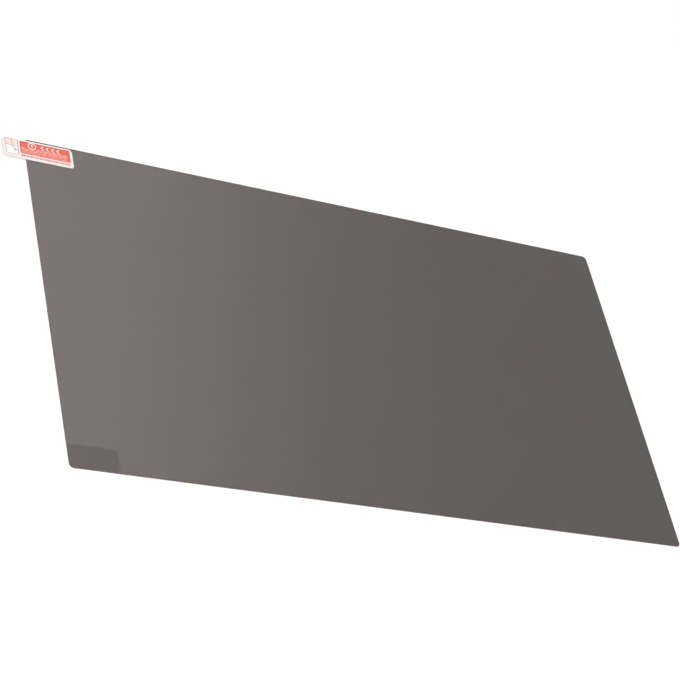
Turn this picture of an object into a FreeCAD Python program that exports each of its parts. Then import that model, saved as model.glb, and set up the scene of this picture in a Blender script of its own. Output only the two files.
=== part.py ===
import FreeCAD, Part
import os

# Screen protector for a laptop, in millimetres: a tinted film between two clear liners,
# each with a pull tab. It lies flat with its adhesive side up, and the second tab,
# which is stuck to the underside, touches the table at z = 0.
# The origin is below the middle of the film, +X runs along its width and +Y to its top edge.

# Film: the 16:9 picture area of a 15.6 inch screen
FILM_WIDTH = 344.0
FILM_HEIGHT = 193.5
FILM_CORNER_RADIUS = 2.4
FILM_THICKNESS = 0.30

# Liners: cut together with the film, so they have its outline
BACK_LINER_THICKNESS = 0.05
FRONT_LINER_THICKNESS = 0.05

# Pull tabs: one label on each side, with a free end past the film's left edge
TAB_LENGTH = 37.3
TAB_WIDTH = 12.4
TAB_CORNER_RADIUS = 2.0
TAB_THICKNESS = 0.08
BACK_TAB_FREE_LENGTH = 11.8
FRONT_TAB_FREE_LENGTH = 12.4
BACK_TAB_EDGE_GAP = 0.95
FRONT_TAB_EDGE_GAP = 0.6

# Places that follow from the sizes
FILM_LEFT = -FILM_WIDTH / 2
FILM_BOTTOM = -FILM_HEIGHT / 2
FILM_TOP = FILM_HEIGHT / 2

# Undersides of the layers, from the table up
FRONT_TAB_LEVEL = 0.0
FRONT_LINER_LEVEL = FRONT_TAB_LEVEL + TAB_THICKNESS
FILM_LEVEL = FRONT_LINER_LEVEL + FRONT_LINER_THICKNESS
BACK_LINER_LEVEL = FILM_LEVEL + FILM_THICKNESS
BACK_TAB_LEVEL = BACK_LINER_LEVEL + BACK_LINER_THICKNESS

UP = FreeCAD.Vector(0, 0, 1)


def rounded_sheet(left, bottom, width, height, radius, level, thickness):
    """A flat rectangular sheet with round corners, its underside at the given level."""
    right = left + width
    top = bottom + height
    corner_centres = [
        (right - radius, top - radius),
        (left + radius, top - radius),
        (left + radius, bottom + radius),
        (right - radius, bottom + radius),
    ]
    edges = []
    for quarter, (x, y) in enumerate(corner_centres):
        start = 90 * quarter
        centre = FreeCAD.Vector(x, y, level)
        arc = Part.makeCircle(radius, centre, UP, start, start + 90)
        if edges:
            edges.append(Part.makeLine(edges[-1].lastVertex().Point, arc.firstVertex().Point))
        edges.append(arc)
    edges.append(Part.makeLine(edges[-1].lastVertex().Point, edges[0].firstVertex().Point))
    return Part.Face(Part.Wire(edges)).extrude(UP * thickness)


def film_layer(level, thickness):
    """A layer with the film's outline: the film itself or a liner."""
    return rounded_sheet(
        FILM_LEFT, FILM_BOTTOM, FILM_WIDTH, FILM_HEIGHT, FILM_CORNER_RADIUS, level, thickness
    )


def pull_tab(free_length, bottom, level):
    """A label whose left end stands out past the film's left edge by its free length."""
    left = FILM_LEFT - free_length
    return rounded_sheet(
        left, bottom, TAB_LENGTH, TAB_WIDTH, TAB_CORNER_RADIUS, level, TAB_THICKNESS
    )


def with_bonded_area(liner, tab):
    """The liner, its outer face divided into the area under the tab and the free area."""
    fused_pair, pieces_of_each = liner.generalFuse([tab])
    divided_liner = pieces_of_each[0][0]
    return divided_liner


back_tab_bottom = FILM_TOP - BACK_TAB_EDGE_GAP - TAB_WIDTH
front_tab_bottom = FILM_BOTTOM + FRONT_TAB_EDGE_GAP
back_pull_tab = pull_tab(BACK_TAB_FREE_LENGTH, back_tab_bottom, BACK_TAB_LEVEL)
front_pull_tab = pull_tab(FRONT_TAB_FREE_LENGTH, front_tab_bottom, FRONT_TAB_LEVEL)
back_liner = film_layer(BACK_LINER_LEVEL, BACK_LINER_THICKNESS)
front_liner = film_layer(FRONT_LINER_LEVEL, FRONT_LINER_THICKNESS)

NODES = {
    "tinted_film": film_layer(FILM_LEVEL, FILM_THICKNESS),
    "back_liner": with_bonded_area(back_liner, back_pull_tab),
    "front_liner": with_bonded_area(front_liner, front_pull_tab),
    "back_pull_tab": back_pull_tab,
    "front_pull_tab": front_pull_tab,
}

os.makedirs("parts", exist_ok=True)
for name, solid in NODES.items():
    solid.exportStep(f"parts/{name}.step")
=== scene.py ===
"""The laptop screen protector: a tinted film between two clear liners, each with a printed pull tab."""
import math

import bmesh
import bpy
from mathutils import Matrix, Vector


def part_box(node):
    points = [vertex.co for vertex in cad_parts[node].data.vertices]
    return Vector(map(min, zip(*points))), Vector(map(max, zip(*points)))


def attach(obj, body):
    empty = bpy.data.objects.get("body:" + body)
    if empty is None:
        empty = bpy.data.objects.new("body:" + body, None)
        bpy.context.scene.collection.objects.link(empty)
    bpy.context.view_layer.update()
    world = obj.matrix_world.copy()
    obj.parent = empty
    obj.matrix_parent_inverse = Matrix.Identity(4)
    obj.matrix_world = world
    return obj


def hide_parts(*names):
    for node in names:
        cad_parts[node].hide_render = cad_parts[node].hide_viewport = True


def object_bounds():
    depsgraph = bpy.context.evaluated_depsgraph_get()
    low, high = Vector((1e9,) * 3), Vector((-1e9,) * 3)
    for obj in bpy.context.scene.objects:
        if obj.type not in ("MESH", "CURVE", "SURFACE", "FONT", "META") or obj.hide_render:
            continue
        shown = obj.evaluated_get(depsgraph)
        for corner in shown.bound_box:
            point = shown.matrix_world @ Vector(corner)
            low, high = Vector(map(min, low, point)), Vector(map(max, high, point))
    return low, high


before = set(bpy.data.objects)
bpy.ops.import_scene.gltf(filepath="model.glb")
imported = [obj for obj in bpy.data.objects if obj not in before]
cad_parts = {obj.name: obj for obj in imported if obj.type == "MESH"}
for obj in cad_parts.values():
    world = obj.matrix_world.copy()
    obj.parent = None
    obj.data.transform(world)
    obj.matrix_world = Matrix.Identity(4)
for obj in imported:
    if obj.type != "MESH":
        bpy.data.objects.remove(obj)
cad_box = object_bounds()

MM = 0.001

# Places that the frame gives: each layer's lowest and highest corner
FILM_LOW, FILM_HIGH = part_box("tinted_film")
BACK_LINER_LOW, BACK_LINER_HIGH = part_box("back_liner")
FRONT_LINER_LOW, FRONT_LINER_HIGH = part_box("front_liner")
BACK_TAB_LOW, BACK_TAB_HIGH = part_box("back_pull_tab")
FRONT_TAB_LOW, FRONT_TAB_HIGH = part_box("front_pull_tab")
TAB_LENGTH = BACK_TAB_HIGH.x - BACK_TAB_LOW.x
TAB_WIDTH = BACK_TAB_HIGH.y - BACK_TAB_LOW.y
TAB_THICKNESS = BACK_TAB_HIGH.z - BACK_TAB_LOW.z

# Outlines and rims of the layers
FILM_CORNER_RADIUS = 2.4 * MM
TAB_CORNER_RADIUS = 2.0 * MM
CORNER_SEGMENTS = 16
FILM_RIM_BEVEL = 0.04 * MM
LINER_RIM_BEVEL = 0.012 * MM
LABEL_RIM_BEVEL = 0.01 * MM
ADHESIVE_RIM_BEVEL = 0.002 * MM
RIM_SEGMENTS = 2
# Width of the strip of painted shade along the film's rim, on both broad faces
PAINTED_RIM_SHADE_WIDTH = 0.15 * MM
LAYER_GAP = 0.005 * MM
LEVEL_NORMAL = 0.9

# Layers of a tab, from the liner outwards: adhesive, label film, first ink and second ink
ADHESIVE_THICKNESS = 0.010 * MM
ADHESIVE_SETBACK = 0.1 * MM
INK_THICKNESS = 0.014 * MM
INK_SINK = 0.002 * MM
INK_GAP = 0.01 * MM
LABEL_THICKNESS = TAB_THICKNESS - ADHESIVE_THICKNESS - 2 * INK_THICKNESS - LAYER_GAP

# Print of a tab: u runs from the free end along the label, v from its upper edge down
# The red block, with a heading of a numeral in a ring and a row of chevrons
PRINT_BLOCK = (9.36 * MM, 35.87 * MM, 0.85 * MM, 8.90 * MM)
PRINT_BLOCK_RADIUS = 0.60 * MM
PRINT_BLOCK_BORDER = 0.45 * MM
PRINT_CORNER_SEGMENTS = 4
RING_CENTRE = (15.75 * MM, 3.15 * MM)
RING_RADIUS = 1.98 * MM
RING_STROKE = 0.50 * MM
RING_SEGMENTS = 48
NUMERAL_HEIGHT = 2.4 * MM
ONE_STEM = (-0.24 * MM, 0.30 * MM)
ONE_CROWN = -0.024 * MM
ONE_THROAT = 0.72 * MM
ONE_FLAG_TIP = -0.60 * MM
ONE_FLAG_SPAN = (0.48 * MM, 0.96 * MM)
TWO_STRETCH = 1.3
TWO_CURVE_STEPS = 6
TYPE_DIGIT_SHARE = 0.7
CHEVRON_COUNT = 4
CHEVRON_START = 20.2 * MM
CHEVRON_PITCH = 2.8 * MM
CHEVRON_WIDTH = 1.2 * MM
CHEVRON_HEIGHT = 2.5 * MM
CHEVRON_STROKE = 0.80 * MM
CHEVRON_CENTRE = 3.05 * MM

# Rows of dashes: fine ones in the block, and one line below it
DASH_LENGTHS = (1.9 * MM, 0.9 * MM, 2.6 * MM, 1.3 * MM, 2.1 * MM, 0.7 * MM, 1.6 * MM)
FINE_ROWS = (4.95 * MM, 5.75 * MM, 6.55 * MM, 7.35 * MM, 8.15 * MM)
FINE_ROW_HEIGHTS = (0.30 * MM, 0.26 * MM, 0.22 * MM, 0.18 * MM, 0.16 * MM)
FINE_ROW_MARGIN = 0.8 * MM
FINE_ROW_SPACE = 0.40 * MM
FINE_ROW_SHIFT = 3
FOOT_LINE = 10.20 * MM
FOOT_LINE_HEIGHT = 1.05 * MM
FOOT_LINE_SPACE = 0.30 * MM
FOOT_LINE_SHIFT = 2

# The sign at the free end: two panes over a third, whose peeled corner ends in a dot
DIVIDER_U = 8.25 * MM
DIVIDER_SPAN = (0.35 * MM, 10.4 * MM)
DIVIDER_STROKE = 0.36 * MM
LINE_STROKE = 0.28 * MM
THIN_STROKE = 0.18 * MM
SIGN_FRAME = (1.75 * MM, 7.5 * MM, 0.6 * MM, 10.4 * MM)
SIGN_SPLIT_V = 4.65 * MM
SIGN_SPLIT_U = 5.15 * MM
SIGN_PANE_INSET = 0.35 * MM
SIGN_DOT = (6.72 * MM, 7.4 * MM)
SIGN_DOT_RADIUS = 0.52 * MM
SIGN_DOT_SEGMENTS = 24

# Inks: each one's colour, and how far its thin and thick places depart from it
INKS = {
    "red": ((0.675, 0.100, 0.063), 0.02),
    "deep_red": ((0.42, 0.090, 0.070), 0.02),
    "foot": ((0.53, 0.25, 0.22), 0.02),
    "pink": ((0.765, 0.636, 0.618), 0.02),
    "bright": ((0.788, 0.797, 0.797), 0.02),
    "grey": ((0.40, 0.26, 0.25), 0.03),
    "dark": ((0.22, 0.20, 0.20), 0.02),
    "white": ((0.765, 0.728, 0.718), 0.02),
}

# Camera of the photograph, in a frame of 680 by 680 pixels
IMAGE_WIDTH = 680
FOCAL_PIXELS = 2143.9
SENSOR_WIDTH = 36.0
CAMERA_AIM = (-11.62 * MM, 3.11 * MM)
CAMERA_DISTANCE = 1077.1 * MM
CAMERA_HEADING = math.radians(40.70)
CAMERA_DROP = math.radians(40.99)
CAMERA_ROLL = math.radians(39.30)

# Studio, in metres and watts. The softbox hangs level, and the point given on its right edge
# lies that far up the edge from its middle.
FLOOR_SIZE = 12.0
FLOOR_DROP = 0.02 * MM
AMBIENT = 0.42
SOFTBOX_HEIGHT = 1.0
SOFTBOX_SIZE = (2.0, 3.0)
SOFTBOX_EDGE_POINT = (0.56, 0.867)
SOFTBOX_EDGE_RISE = 0.60
SOFTBOX_TURN = math.radians(-12)
SOFTBOX_POWER = 21.5
SOFTBOX_COLOUR = (1.0, 0.90, 0.87)
FILL_PLACE = Vector((1.3, -1.3, 1.7))
FILL_AIM = Vector((0, 0, 0))
FILL_SIZE = (1.4, 1.4)
FILL_POWER = 22.0
FILL_COLOUR = (1.0, 1.0, 1.0)

# Light passes the six faces of the layers going down, coming back, and on its way to a lamp
SEE_THROUGH_FACES = 32


class Value:
    """A number that varies over a surface. Arithmetic on it adds Math nodes to its finish."""

    def __init__(self, finish, socket):
        self.finish = finish
        self.socket = socket

    def combined(self, operation, first, second):
        maths = self.finish.node("ShaderNodeMath", {"operation": operation}, {0: first, 1: second})
        return Value(self.finish, maths.outputs[0])

    def __add__(self, other):
        return self.combined("ADD", self, other)

    def __sub__(self, other):
        return self.combined("SUBTRACT", self, other)

    def __rsub__(self, other):
        return self.combined("SUBTRACT", other, self)

    def __mul__(self, other):
        return self.combined("MULTIPLY", self, other)

    def __pow__(self, other):
        return self.combined("POWER", self, other)

    __radd__ = __add__
    __rmul__ = __mul__


class Finish:
    """A material, built node by node."""

    def __init__(self, name):
        self.material = bpy.data.materials.new(name)
        self.material.use_nodes = True
        self.tree = self.material.node_tree
        self.tree.nodes.clear()
        self.place = self.node("ShaderNodeTexCoord").outputs["Object"]

    def node(self, kind, settings=None, sockets=None):
        """Adds a node: its settings come first, then the values or links of its sockets."""
        node = self.tree.nodes.new(kind)
        for key, value in (settings or {}).items():
            setattr(node, key, value)
        for key, value in (sockets or {}).items():
            if isinstance(value, Value):
                value = value.socket
            if isinstance(value, bpy.types.NodeSocket):
                self.tree.links.new(value, node.inputs[key])
            else:
                node.inputs[key].default_value = value
        return node

    def noise(self, grain, detail=2.0, stretch=(1.0, 1.0, 1.0)):
        """Noise about zero, with features about one grain wide, drawn out by stretch."""
        scale = [1 / (grain * share) for share in stretch]
        spread = self.node("ShaderNodeMapping", None, {"Vector": self.place, "Scale": scale})
        sockets = {"Vector": spread.outputs[0], "Scale": 1.0, "Detail": detail}
        noise = self.node("ShaderNodeTexNoise", None, sockets)
        return Value(self, noise.outputs["Fac"]) - 0.5

    def blend(self, noise, first, second):
        """A colour that wavers between two with noise about zero."""
        sockets = {"Factor": noise + 0.5, 6: first, 7: second}
        mixed = self.node("ShaderNodeMix", {"data_type": "RGBA"}, sockets)
        return mixed.outputs[2]

    def relief(self, height, depth):
        """A normal from a height that varies over the surface, its depth in metres."""
        bump = self.node("ShaderNodeBump", None, {"Strength": 1.0, "Distance": depth, "Height": height})
        return bump.outputs["Normal"]

    def surface(self, **sockets):
        """A Principled shader with sockets given by name, with _ for a space."""
        named = {key.replace("_", " "): value for key, value in sockets.items()}
        return self.node("ShaderNodeBsdfPrincipled", None, named).outputs[0]

    def clear(self, tint):
        """What lies behind, seen through a tint."""
        return self.node("ShaderNodeBsdfTransparent", None, {"Color": tint}).outputs[0]

    def over(self, share, below, above):
        """Two shaders mixed, with the given share of the one above."""
        return self.node("ShaderNodeMixShader", None, {0: share, 1: below, 2: above}).outputs[0]

    def done(self, shader):
        """The finished material."""
        self.node("ShaderNodeOutputMaterial", None, {"Surface": shader})
        return self.material


def rgba(red, green, blue):
    return (red, green, blue, 1.0)


# Finishes

FILM_TINT = rgba(0.571, 0.567, 0.567)
FILM_HAZE_SHARE = 0.06
# Share of the dark finish on the film's cut edge and on the painted shade along its rim
EDGE_AND_RIM_SHADE_SHARE = 0.75
LINER_GLOSS_HEAD_ON = 0.087
LINER_CLING_SHARE = 0.004


def tinted_film_finish():
    """Dyed polyester: mostly a filter for what lies behind it, with a little haze of its own."""
    finish = Finish("tinted_film")
    coating = finish.noise(60 * MM, 2.0, (4.0, 1.0, 1.0))
    grain = finish.noise(0.5 * MM, 1.0)
    haze = finish.surface(
        Base_Color=finish.blend(coating, rgba(0.085, 0.076, 0.072), rgba(0.105, 0.095, 0.090)),
        Roughness=0.55 + grain * 0.1,
    )
    haze_share = FILM_HAZE_SHARE + coating * 0.01 + grain * 0.01
    return finish.done(finish.over(haze_share, finish.clear(FILM_TINT), haze))


def edge_and_rim_shade_finish():
    """The film's knife-cut edge, which lets less light through than the sheet, and the same dark finish
    as a strip of painted shade along the rim of both broad faces.
    """
    finish = Finish("film_cut_edge_and_rim_shade")
    scratches = finish.noise(0.4 * MM, 2.0)
    # The dark colour is the cut wall's own colour, and painted shade where it lies on the rim strips
    edge_shade = finish.surface(
        Base_Color=finish.blend(scratches, rgba(0.025, 0.022, 0.021), rgba(0.06, 0.054, 0.051)),
        Roughness=0.5 + scratches * 0.2,
    )
    return finish.done(finish.over(EDGE_AND_RIM_SHADE_SHARE + scratches * 0.1, finish.clear(FILM_TINT), edge_shade))


def liner_gloss_finish():
    """The outer face of a clear release film: a soft gloss over what lies behind."""
    finish = Finish("liner_gloss")
    waves = finish.noise(55 * MM, 2.0, (1.6, 1.0, 1.0))
    facing = Value(finish, finish.node("ShaderNodeLayerWeight", None, {"Blend": 0.5}).outputs["Facing"])
    gloss_share = LINER_GLOSS_HEAD_ON + (1 - LINER_GLOSS_HEAD_ON) * facing ** 5.0
    gloss = finish.surface(
        Base_Color=rgba(0.97, 0.885, 0.865),
        Metallic=1.0,
        Roughness=0.30 + waves * 0.05,
        Normal=finish.relief(waves, 0.25 * MM),
    )
    return finish.done(finish.over(gloss_share, finish.clear(rgba(0.99, 0.99, 0.99)), gloss))


def liner_inner_finish():
    """The side of a release film that clings to the tinted film, with no air in between."""
    finish = Finish("liner_inner")
    cling = finish.noise(2.5 * MM, 2.0)
    haze = finish.surface(Base_Color=rgba(0.5, 0.5, 0.5), Roughness=0.6 + cling * 0.1)
    haze_share = LINER_CLING_SHARE + cling * LINER_CLING_SHARE
    return finish.done(finish.over(haze_share, finish.clear(rgba(0.995, 0.995, 0.995)), haze))


def label_finish():
    """White label film with a faint mottle and a satin face."""
    finish = Finish("label_white")
    mottle = finish.noise(1.2 * MM, 3.0)
    grain = finish.noise(0.12 * MM, 1.0)
    return finish.done(
        finish.surface(
            Base_Color=finish.blend(mottle, rgba(0.732, 0.705, 0.698), rgba(0.766, 0.738, 0.733)),
            Roughness=0.38 + mottle * 0.10,
            Normal=finish.relief(grain, 0.002 * MM),
        )
    )


def backing_finish():
    """The bright white backing of the label film."""
    finish = Finish("label_backing")
    mottle = finish.noise(1.8 * MM, 2.0)
    return finish.done(
        finish.surface(
            Base_Color=finish.blend(mottle, rgba(0.90, 0.90, 0.89), rgba(0.93, 0.93, 0.92)),
            Roughness=0.6 + mottle * 0.15,
        )
    )


def ink_finish(name, colour, spread):
    """Screen ink in one colour, a little thicker here and thinner there."""
    finish = Finish(name)
    density = finish.noise(0.7 * MM, 3.0)
    pinholes = finish.noise(0.15 * MM, 1.0)
    thin = rgba(*[min(1.0, part + spread) for part in colour])
    thick = rgba(*[max(0.0, part - spread) for part in colour])
    return finish.done(
        finish.surface(
            Base_Color=finish.blend(density, thin, thick),
            Roughness=0.42 + pinholes * 0.12,
            Normal=finish.relief(pinholes, 0.002 * MM),
        )
    )


def adhesive_finish():
    """Grey block-out adhesive, wetted out unevenly against the liner."""
    finish = Finish("tab_adhesive")
    wetting = finish.noise(1.6 * MM, 3.0)
    return finish.done(
        finish.surface(
            Base_Color=finish.blend(wetting, rgba(0.29, 0.355, 0.335), rgba(0.355, 0.425, 0.405)),
            Roughness=0.5 + wetting * 0.2,
        )
    )


def floor_finish():
    """A pale matt studio sweep."""
    finish = Finish("studio_floor")
    cloud = finish.noise(900 * MM, 1.0)
    return finish.done(
        finish.surface(
            Base_Color=finish.blend(cloud, rgba(0.94, 0.94, 0.94), rgba(0.96, 0.96, 0.96)),
            Roughness=0.9,
        )
    )


# Sheets: the film, the liners and the labels

def make_piece(name, bm, finishes, replaced=None):
    """Turns a bmesh into a piece that rides with the object, its finishes in slot order."""
    bmesh.ops.recalc_face_normals(bm, faces=bm.faces)
    mesh = bpy.data.meshes.new(name)
    bm.to_mesh(mesh)
    bm.free()
    for finish in finishes:
        mesh.materials.append(finish)
    piece = bpy.data.objects.new(name, mesh)
    bpy.context.scene.collection.objects.link(piece)
    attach(piece, "root")
    if replaced:
        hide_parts(replaced)


def bevelled(bm, geom, width, segments, affect="EDGES"):
    """Rounds off edges, or corners where affect says so."""
    bmesh.ops.bevel(
        bm, geom=geom, offset=width, affect=affect, segments=segments, profile=0.5, material=-1
    )


def rounded_slab(low, high, corner_radius, rim_bevel):
    """A thin plate with round corners and broken rims."""
    bm = bmesh.new()
    size = high - low
    bmesh.ops.create_cube(bm, size=1.0)
    bmesh.ops.scale(bm, vec=size, verts=bm.verts)
    bmesh.ops.translate(bm, vec=(low + high) / 2, verts=bm.verts)
    uprights = [e for e in bm.edges if abs(e.verts[0].co.z - e.verts[1].co.z) > size.z / 2]
    bevelled(bm, uprights, corner_radius, CORNER_SEGMENTS)
    rims = [e for face in bm.faces if abs(face.normal.z) > LEVEL_NORMAL for e in face.edges]
    bevelled(bm, rims, rim_bevel, RIM_SEGMENTS)
    return bm


def broad_faces(bm):
    """The large upper and lower face of a plate, lower first."""
    faces = sorted(bm.faces, key=lambda face: face.calc_area())[-2:]
    return sorted(faces, key=lambda face: face.calc_center_median().z)


def film_piece():
    """The tinted film, with its cut edge and a narrow strip of painted shade along the rim on both
    sides, in the cut edge's dark finish.
    """
    low = FILM_LOW + Vector((0, 0, LAYER_GAP))
    high = FILM_HIGH - Vector((0, 0, LAYER_GAP))
    bm = rounded_slab(low, high, FILM_CORNER_RADIUS, FILM_RIM_BEVEL)
    sheet = broad_faces(bm)
    for face in bm.faces:
        face.material_index = 0 if face in sheet else 1
    # Each broad face gets a strip of painted shade along its rim, in the cut edge's dark finish
    for face in sheet:
        rim = bmesh.ops.inset_region(bm, faces=[face], thickness=PAINTED_RIM_SHADE_WIDTH, use_even_offset=True)
        for strip in rim["faces"]:
            strip.material_index = 1
    finishes = [tinted_film_finish(), edge_and_rim_shade_finish()]
    make_piece("film_sheet", bm, finishes, "tinted_film")


def liner_piece(name, node, low, high, outer_is_up, finishes):
    """A clear liner, glossy on its outer face alone."""
    bm = rounded_slab(low, high, FILM_CORNER_RADIUS, LINER_RIM_BEVEL)
    outer = broad_faces(bm)[1 if outer_is_up else 0]
    for face in bm.faces:
        face.material_index = 0 if face == outer else 1
    make_piece(name, bm, finishes, node)


# Print: flat fields, drawn on the label's plane

def plate(bm, u_span, v_span, radius=0.0):
    """A level field of ink, with round corners where a radius is given."""
    middle = Vector((sum(u_span) / 2, -sum(v_span) / 2, 0))
    size = Vector((u_span[1] - u_span[0], v_span[1] - v_span[0], 1))
    made = bmesh.ops.create_grid(bm, x_segments=1, y_segments=1, size=0.5)
    bmesh.ops.scale(bm, vec=size, verts=made["verts"])
    bmesh.ops.translate(bm, vec=middle, verts=made["verts"])
    if radius:
        bevelled(bm, made["verts"], radius, PRINT_CORNER_SEGMENTS, "VERTICES")


def polygon(bm, points):
    """A field of ink with the given corners, each (u, v)."""
    bm.faces.new([bm.verts.new((u, -v, 0)) for u, v in points])


def ring(bm, centre, radius, stroke_width):
    """A ring of ink."""
    place = Vector((centre[0], -centre[1], 0))
    inner = bm.verts.new(place + Vector((radius - stroke_width / 2, 0, 0)))
    outer = bm.verts.new(place + Vector((radius + stroke_width / 2, 0, 0)))
    spoke = bm.edges.new((inner, outer))
    bmesh.ops.spin(
        bm, geom=[inner, outer, spoke], cent=place, axis=(0, 0, 1), angle=2 * math.pi,
        steps=RING_SEGMENTS, use_merge=True,
    )


def dashes(bm, u_span, v_middle, height, space, first):
    """A row of dashes of uneven lengths."""
    u = u_span[0]
    index = first
    while True:
        length = DASH_LENGTHS[index % len(DASH_LENGTHS)]
        if u + length > u_span[1]:
            break
        plate(bm, (u, u + length), (v_middle - height / 2, v_middle + height / 2))
        u += length + space
        index += 1


def stroke(bm, start, end, width):
    """A straight line of ink from one (u, v) to another."""
    along = Vector((end[0] - start[0], end[1] - start[1])).normalized() * (width / 2)
    corners = []
    for point, side in ((start, 1), (start, -1), (end, -1), (end, 1)):
        corners.append((point[0] - side * along.y, point[1] + side * along.x))
    polygon(bm, corners)


def numeral_one(bm):
    """A plain 1 in the ring: a stem with a flag."""
    u, v = RING_CENTRE
    top = v - NUMERAL_HEIGHT / 2
    bottom = v + NUMERAL_HEIGHT / 2
    left, right = u + ONE_STEM[0], u + ONE_STEM[1]
    tip = u + ONE_FLAG_TIP
    polygon(
        bm,
        [
            (tip, top + ONE_FLAG_SPAN[0]),
            (u + ONE_CROWN, top),
            (right, top),
            (right, bottom),
            (left, bottom),
            (left, top + ONE_THROAT),
            (tip, top + ONE_FLAG_SPAN[1]),
        ],
    )


def numeral_two(bm):
    """A plain 2 in the ring, from Blender's own typeface."""
    words = bpy.data.curves.new("numeral", "FONT")
    words.body = "2"
    words.align_x = "CENTER"
    words.align_y = "CENTER"
    words.size = NUMERAL_HEIGHT / TYPE_DIGIT_SHARE
    words.resolution_u = TWO_CURVE_STEPS
    holder = bpy.data.objects.new("numeral", words)
    bpy.context.scene.collection.objects.link(holder)
    mesh = bpy.data.meshes.new_from_object(holder.evaluated_get(bpy.context.evaluated_depsgraph_get()))
    mesh.transform(Matrix.Diagonal((TWO_STRETCH, 1.0, 1.0, 1.0)))
    mesh.transform(Matrix.Translation((RING_CENTRE[0], -RING_CENTRE[1], 0)))
    bm.from_mesh(mesh)
    bpy.data.meshes.remove(mesh)
    bpy.data.objects.remove(holder)
    bpy.data.curves.remove(words)


def chevron(bm, tip):
    """A thick arrowhead that points to the free end."""
    top = CHEVRON_CENTRE - CHEVRON_HEIGHT / 2
    bottom = CHEVRON_CENTRE + CHEVRON_HEIGHT / 2
    polygon(
        bm,
        [
            (tip, CHEVRON_CENTRE),
            (tip + CHEVRON_WIDTH, bottom),
            (tip + CHEVRON_WIDTH + CHEVRON_STROKE, bottom),
            (tip + CHEVRON_STROKE, CHEVRON_CENTRE),
            (tip + CHEVRON_WIDTH + CHEVRON_STROKE, top),
            (tip + CHEVRON_WIDTH, top),
        ],
    )


def bordered_block(bm):
    """The red block's plate, divided into its field and a border. Gives the faces of both."""
    plate(bm, PRINT_BLOCK[:2], PRINT_BLOCK[2:], PRINT_BLOCK_RADIUS)
    rim = bmesh.ops.inset_region(
        bm, faces=bm.faces[:], thickness=PRINT_BLOCK_BORDER, use_boundary=True, use_even_offset=True
    )
    foot_y = -(PRINT_BLOCK[3] - PRINT_BLOCK_BORDER)
    border = [face for face in rim["faces"] if face.calc_center_median().y > foot_y]
    field = [face for face in bm.faces if face not in border]
    return field, border


def red_field(bm):
    """The block's field, which reaches down to its lower edge."""
    field, border = bordered_block(bm)
    bmesh.ops.delete(bm, geom=border, context="FACES")


def red_border(bm):
    """The deeper red along the top and the ends of the block."""
    field, border = bordered_block(bm)
    bmesh.ops.delete(bm, geom=field, context="FACES")


def foot_line(bm):
    """The line of dashes below the block."""
    dashes(bm, PRINT_BLOCK[:2], FOOT_LINE, FOOT_LINE_HEIGHT, FOOT_LINE_SPACE, FOOT_LINE_SHIFT)


def fine_rows(bm):
    """Rows of dashes in the lower part of the block, which leave room for the ring."""
    left = PRINT_BLOCK[0] + FINE_ROW_MARGIN
    right = PRINT_BLOCK[1] - FINE_ROW_MARGIN
    ring_u, ring_v = RING_CENTRE
    ring_reach = RING_RADIUS + RING_STROKE
    for row, (v_middle, height) in enumerate(zip(FINE_ROWS, FINE_ROW_HEIGHTS)):
        spans = [(left, right)]
        if v_middle - ring_v < ring_reach:
            spans = [(left, ring_u - ring_reach), (ring_u + ring_reach, right)]
        for span in spans:
            dashes(bm, span, v_middle, height, FINE_ROW_SPACE, row * FINE_ROW_SHIFT)


def white_marks(bm, draw_numeral):
    """What is printed in white over the block: the numeral in its ring, chevrons and fine dashes."""
    ring(bm, RING_CENTRE, RING_RADIUS, RING_STROKE)
    draw_numeral(bm)
    for index in range(CHEVRON_COUNT):
        chevron(bm, CHEVRON_START + index * CHEVRON_PITCH)
    fine_rows(bm)


def pink_panes(bm):
    """The two upper panes of the sign."""
    left, right, top = SIGN_FRAME[:3]
    v_span = (top + SIGN_PANE_INSET, SIGN_SPLIT_V - SIGN_PANE_INSET)
    plate(bm, (left + SIGN_PANE_INSET, SIGN_SPLIT_U - SIGN_PANE_INSET / 2), v_span)
    plate(bm, (SIGN_SPLIT_U + SIGN_PANE_INSET / 2, right - SIGN_PANE_INSET), v_span)


def bright_pane(bm):
    """The lower pane of the sign, bounded by the peeled corner."""
    left = SIGN_FRAME[0] + SIGN_PANE_INSET
    right = SIGN_FRAME[1] - SIGN_PANE_INSET
    top = SIGN_SPLIT_V + SIGN_PANE_INSET
    bottom = SIGN_FRAME[3] - SIGN_PANE_INSET
    dot_u, dot_v = SIGN_DOT
    dot_room = 2 * SIGN_DOT_RADIUS
    polygon(
        bm,
        [
            (left, top),
            (SIGN_SPLIT_U - SIGN_PANE_INSET, top),
            (dot_u - dot_room, dot_v),
            (dot_u - dot_room, dot_v + dot_room),
            (right, dot_v + dot_room),
            (right, bottom),
            (left, bottom),
        ],
    )


def grey_lines(bm):
    """The sign's frame, open on its right, and the divider beside it. No two lines touch."""
    left, right, top, bottom = SIGN_FRAME
    half = LINE_STROKE / 2
    for v_middle in (top, SIGN_SPLIT_V):
        plate(bm, (left - half, right), (v_middle - half, v_middle + half))
    foot = bottom - THIN_STROKE / 2
    reach = half + INK_GAP
    upper_span = (top + reach, SIGN_SPLIT_V - reach)
    plate(bm, (left - half, left + half), upper_span)
    plate(bm, (SIGN_SPLIT_U - half, SIGN_SPLIT_U + half), upper_span)
    plate(bm, (left - half, left + half), (SIGN_SPLIT_V + reach, foot - INK_GAP))
    plate(bm, (left - half, right), (foot, bottom + THIN_STROKE / 2))
    plate(bm, (DIVIDER_U - DIVIDER_STROKE / 2, DIVIDER_U + DIVIDER_STROKE / 2), DIVIDER_SPAN)


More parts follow.
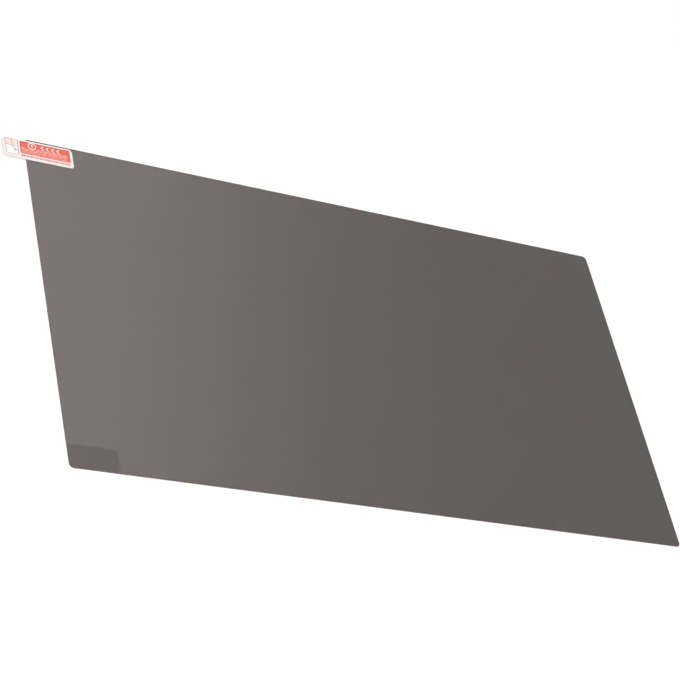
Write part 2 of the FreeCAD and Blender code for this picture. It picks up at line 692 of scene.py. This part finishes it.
def dark_mark(bm):
    """The edge of the peeled corner, with a dot at its tip."""
    start = Vector((SIGN_SPLIT_U, SIGN_SPLIT_V + LINE_STROKE))
    dot = Vector(SIGN_DOT)
    stroke(bm, start, dot - (dot - start).normalized() * SIGN_DOT_RADIUS, LINE_STROKE)
    bmesh.ops.create_circle(
        bm, cap_ends=True, segments=SIGN_DOT_SEGMENTS, radius=SIGN_DOT_RADIUS,
        matrix=Matrix.Translation((dot.x, -dot.y, 0)),
    )


# What each ink of the first layer prints; the white marks lie over the red
FIRST_PRINT = {
    "red": red_field,
    "deep_red": red_border,
    "foot": foot_line,
    "pink": pink_panes,
    "bright": bright_pane,
    "grey": grey_lines,
    "dark": dark_mark,
}


def ink_piece(name, draw, level, finish, to_tab):
    """A layer of ink: what draw puts on the label's plane, given thickness and put on its tab."""
    bm = bmesh.new()
    draw(bm)
    grown = bmesh.ops.extrude_face_region(bm, geom=bm.faces[:])
    tops = [item for item in grown["geom"] if isinstance(item, bmesh.types.BMVert)]
    bmesh.ops.translate(bm, vec=(0, 0, INK_THICKNESS + INK_SINK), verts=tops)
    bmesh.ops.translate(bm, vec=(0, 0, level - INK_SINK), verts=bm.verts)
    bmesh.ops.transform(bm, matrix=to_tab, verts=bm.verts)
    make_piece(name, bm, [finish])


def tab_pieces(side, node, draw_numeral, free_length, to_tab, finishes):
    """A pull tab: its label, its adhesive under the bonded end and its print."""
    label_level = ADHESIVE_THICKNESS + LAYER_GAP
    label_top = label_level + LABEL_THICKNESS
    label = rounded_slab(
        Vector((0, -TAB_WIDTH, label_level)),
        Vector((TAB_LENGTH, 0, label_top)),
        TAB_CORNER_RADIUS,
        LABEL_RIM_BEVEL,
    )
    backing_face = broad_faces(label)[0]
    backing_face.material_index = 1
    bmesh.ops.transform(label, matrix=to_tab, verts=label.verts)
    make_piece(f"{side}_tab_label", label, [finishes["label"], finishes["backing"]], node)
    adhesive = rounded_slab(
        Vector((free_length + ADHESIVE_SETBACK, -TAB_WIDTH, LAYER_GAP)),
        Vector((TAB_LENGTH, 0, ADHESIVE_THICKNESS)),
        TAB_CORNER_RADIUS,
        ADHESIVE_RIM_BEVEL,
    )
    bmesh.ops.transform(adhesive, matrix=to_tab, verts=adhesive.verts)
    make_piece(f"{side}_tab_adhesive", adhesive, [finishes["adhesive"]])
    for ink, draw in FIRST_PRINT.items():
        ink_piece(f"{side}_tab_{ink}_print", draw, label_top, finishes[ink], to_tab)
    ink_piece(
        f"{side}_tab_white_print",
        lambda bm: white_marks(bm, draw_numeral),
        label_top + INK_THICKNESS,
        finishes["white"],
        to_tab,
    )


def build_object():
    """The film, its liners and its tabs. The second tab is turned over, with its print below."""
    film_piece()
    liner_finishes = [liner_gloss_finish(), liner_inner_finish()]
    liner_piece("back_liner_sheet", "back_liner", BACK_LINER_LOW, BACK_LINER_HIGH, True, liner_finishes)
    liner_piece(
        "front_liner_sheet", "front_liner", FRONT_LINER_LOW, FRONT_LINER_HIGH, False, liner_finishes
    )
    finishes = {"label": label_finish(), "backing": backing_finish(), "adhesive": adhesive_finish()}
    for ink, (colour, spread) in INKS.items():
        finishes[ink] = ink_finish(f"ink_{ink}", colour, spread)
    to_back_tab = Matrix.Translation((BACK_TAB_LOW.x, BACK_TAB_HIGH.y, BACK_TAB_LOW.z))
    turned_over = Matrix.Rotation(math.pi, 4, "X")
    front_corner = Vector((FRONT_TAB_LOW.x, FRONT_TAB_LOW.y, FRONT_TAB_HIGH.z))
    to_front_tab = Matrix.Translation(front_corner) @ turned_over
    back_free_length = FILM_LOW.x - BACK_TAB_LOW.x
    front_free_length = FILM_LOW.x - FRONT_TAB_LOW.x
    tab_pieces("back", "back_pull_tab", numeral_one, back_free_length, to_back_tab, finishes)
    tab_pieces("front", "front_pull_tab", numeral_two, front_free_length, to_front_tab, finishes)


# Studio

def lay_floor():
    """A floor just below the object."""
    bm = bmesh.new()
    bmesh.ops.create_grid(bm, x_segments=1, y_segments=1, size=FLOOR_SIZE / 2)
    bmesh.ops.translate(bm, vec=(0, 0, cad_box[0][2] - FLOOR_DROP), verts=bm.verts)
    mesh = bpy.data.meshes.new("studio_floor")
    bm.to_mesh(mesh)
    bm.free()
    mesh.materials.append(floor_finish())
    floor = bpy.data.objects.new("studio_floor", mesh)
    bpy.context.scene.collection.objects.link(floor)


def area_light(name, place, aim, size, power, colour, turn=0.0):
    """A rectangular lamp that faces its aim, turned about that line."""
    lamp = bpy.data.lights.new(name, "AREA")
    lamp.shape = "RECTANGLE"
    lamp.size, lamp.size_y = size
    lamp.energy = power
    lamp.color = colour
    holder = bpy.data.objects.new(name, lamp)
    holder.location = place
    turned = (aim - place).to_track_quat("-Z", "Y") @ Matrix.Rotation(turn, 3, "Z").to_quaternion()
    holder.rotation_euler = turned.to_euler()
    holder.visible_camera = False
    bpy.context.scene.collection.objects.link(holder)


def light_studio():
    """A softbox overhead, whose reflection the film shows on its left, a fill and an even sky."""
    from_middle = Vector((SOFTBOX_SIZE[0] / 2, SOFTBOX_EDGE_RISE, 0))
    to_edge_point = Matrix.Rotation(SOFTBOX_TURN, 3, "Z") @ from_middle
    softbox = Vector((*SOFTBOX_EDGE_POINT, SOFTBOX_HEIGHT)) - to_edge_point
    below = Vector((softbox.x, softbox.y, 0))
    area_light("softbox", softbox, below, SOFTBOX_SIZE, SOFTBOX_POWER, SOFTBOX_COLOUR, SOFTBOX_TURN)
    area_light("fill", FILL_PLACE, FILL_AIM, FILL_SIZE, FILL_POWER, FILL_COLOUR)
    world = bpy.data.worlds.new("studio")
    bpy.context.scene.world = world
    world.use_nodes = True
    sky = world.node_tree.nodes["Background"]
    sky.inputs["Color"].default_value = rgba(1.0, 1.0, 1.0)
    sky.inputs["Strength"].default_value = AMBIENT


def place_camera():
    """The photograph's camera, aimed at a point on the film's upper side."""
    lens = bpy.data.cameras.new("photo_camera")
    lens.sensor_fit = "HORIZONTAL"
    lens.sensor_width = SENSOR_WIDTH
    lens.lens = FOCAL_PIXELS * SENSOR_WIDTH / IMAGE_WIDTH
    camera = bpy.data.objects.new("photo_camera", lens)
    bpy.context.scene.collection.objects.link(camera)
    aim = Vector((*CAMERA_AIM, BACK_LINER_HIGH.z))
    level = math.cos(CAMERA_DROP)
    forward = Vector(
        (level * math.sin(CAMERA_HEADING), level * math.cos(CAMERA_HEADING), -math.sin(CAMERA_DROP))
    )
    turned = forward.to_track_quat("-Z", "Y") @ Matrix.Rotation(CAMERA_ROLL, 3, "Z").to_quaternion()
    camera.rotation_euler = turned.to_euler()
    camera.location = aim - forward * CAMERA_DISTANCE
    bpy.context.scene.camera = camera


build_object()
lay_floor()
light_studio()
place_camera()
bpy.context.scene.view_settings.view_transform = "Standard"
bpy.context.scene.cycles.transparent_max_bounces = SEE_THROUGH_FACES
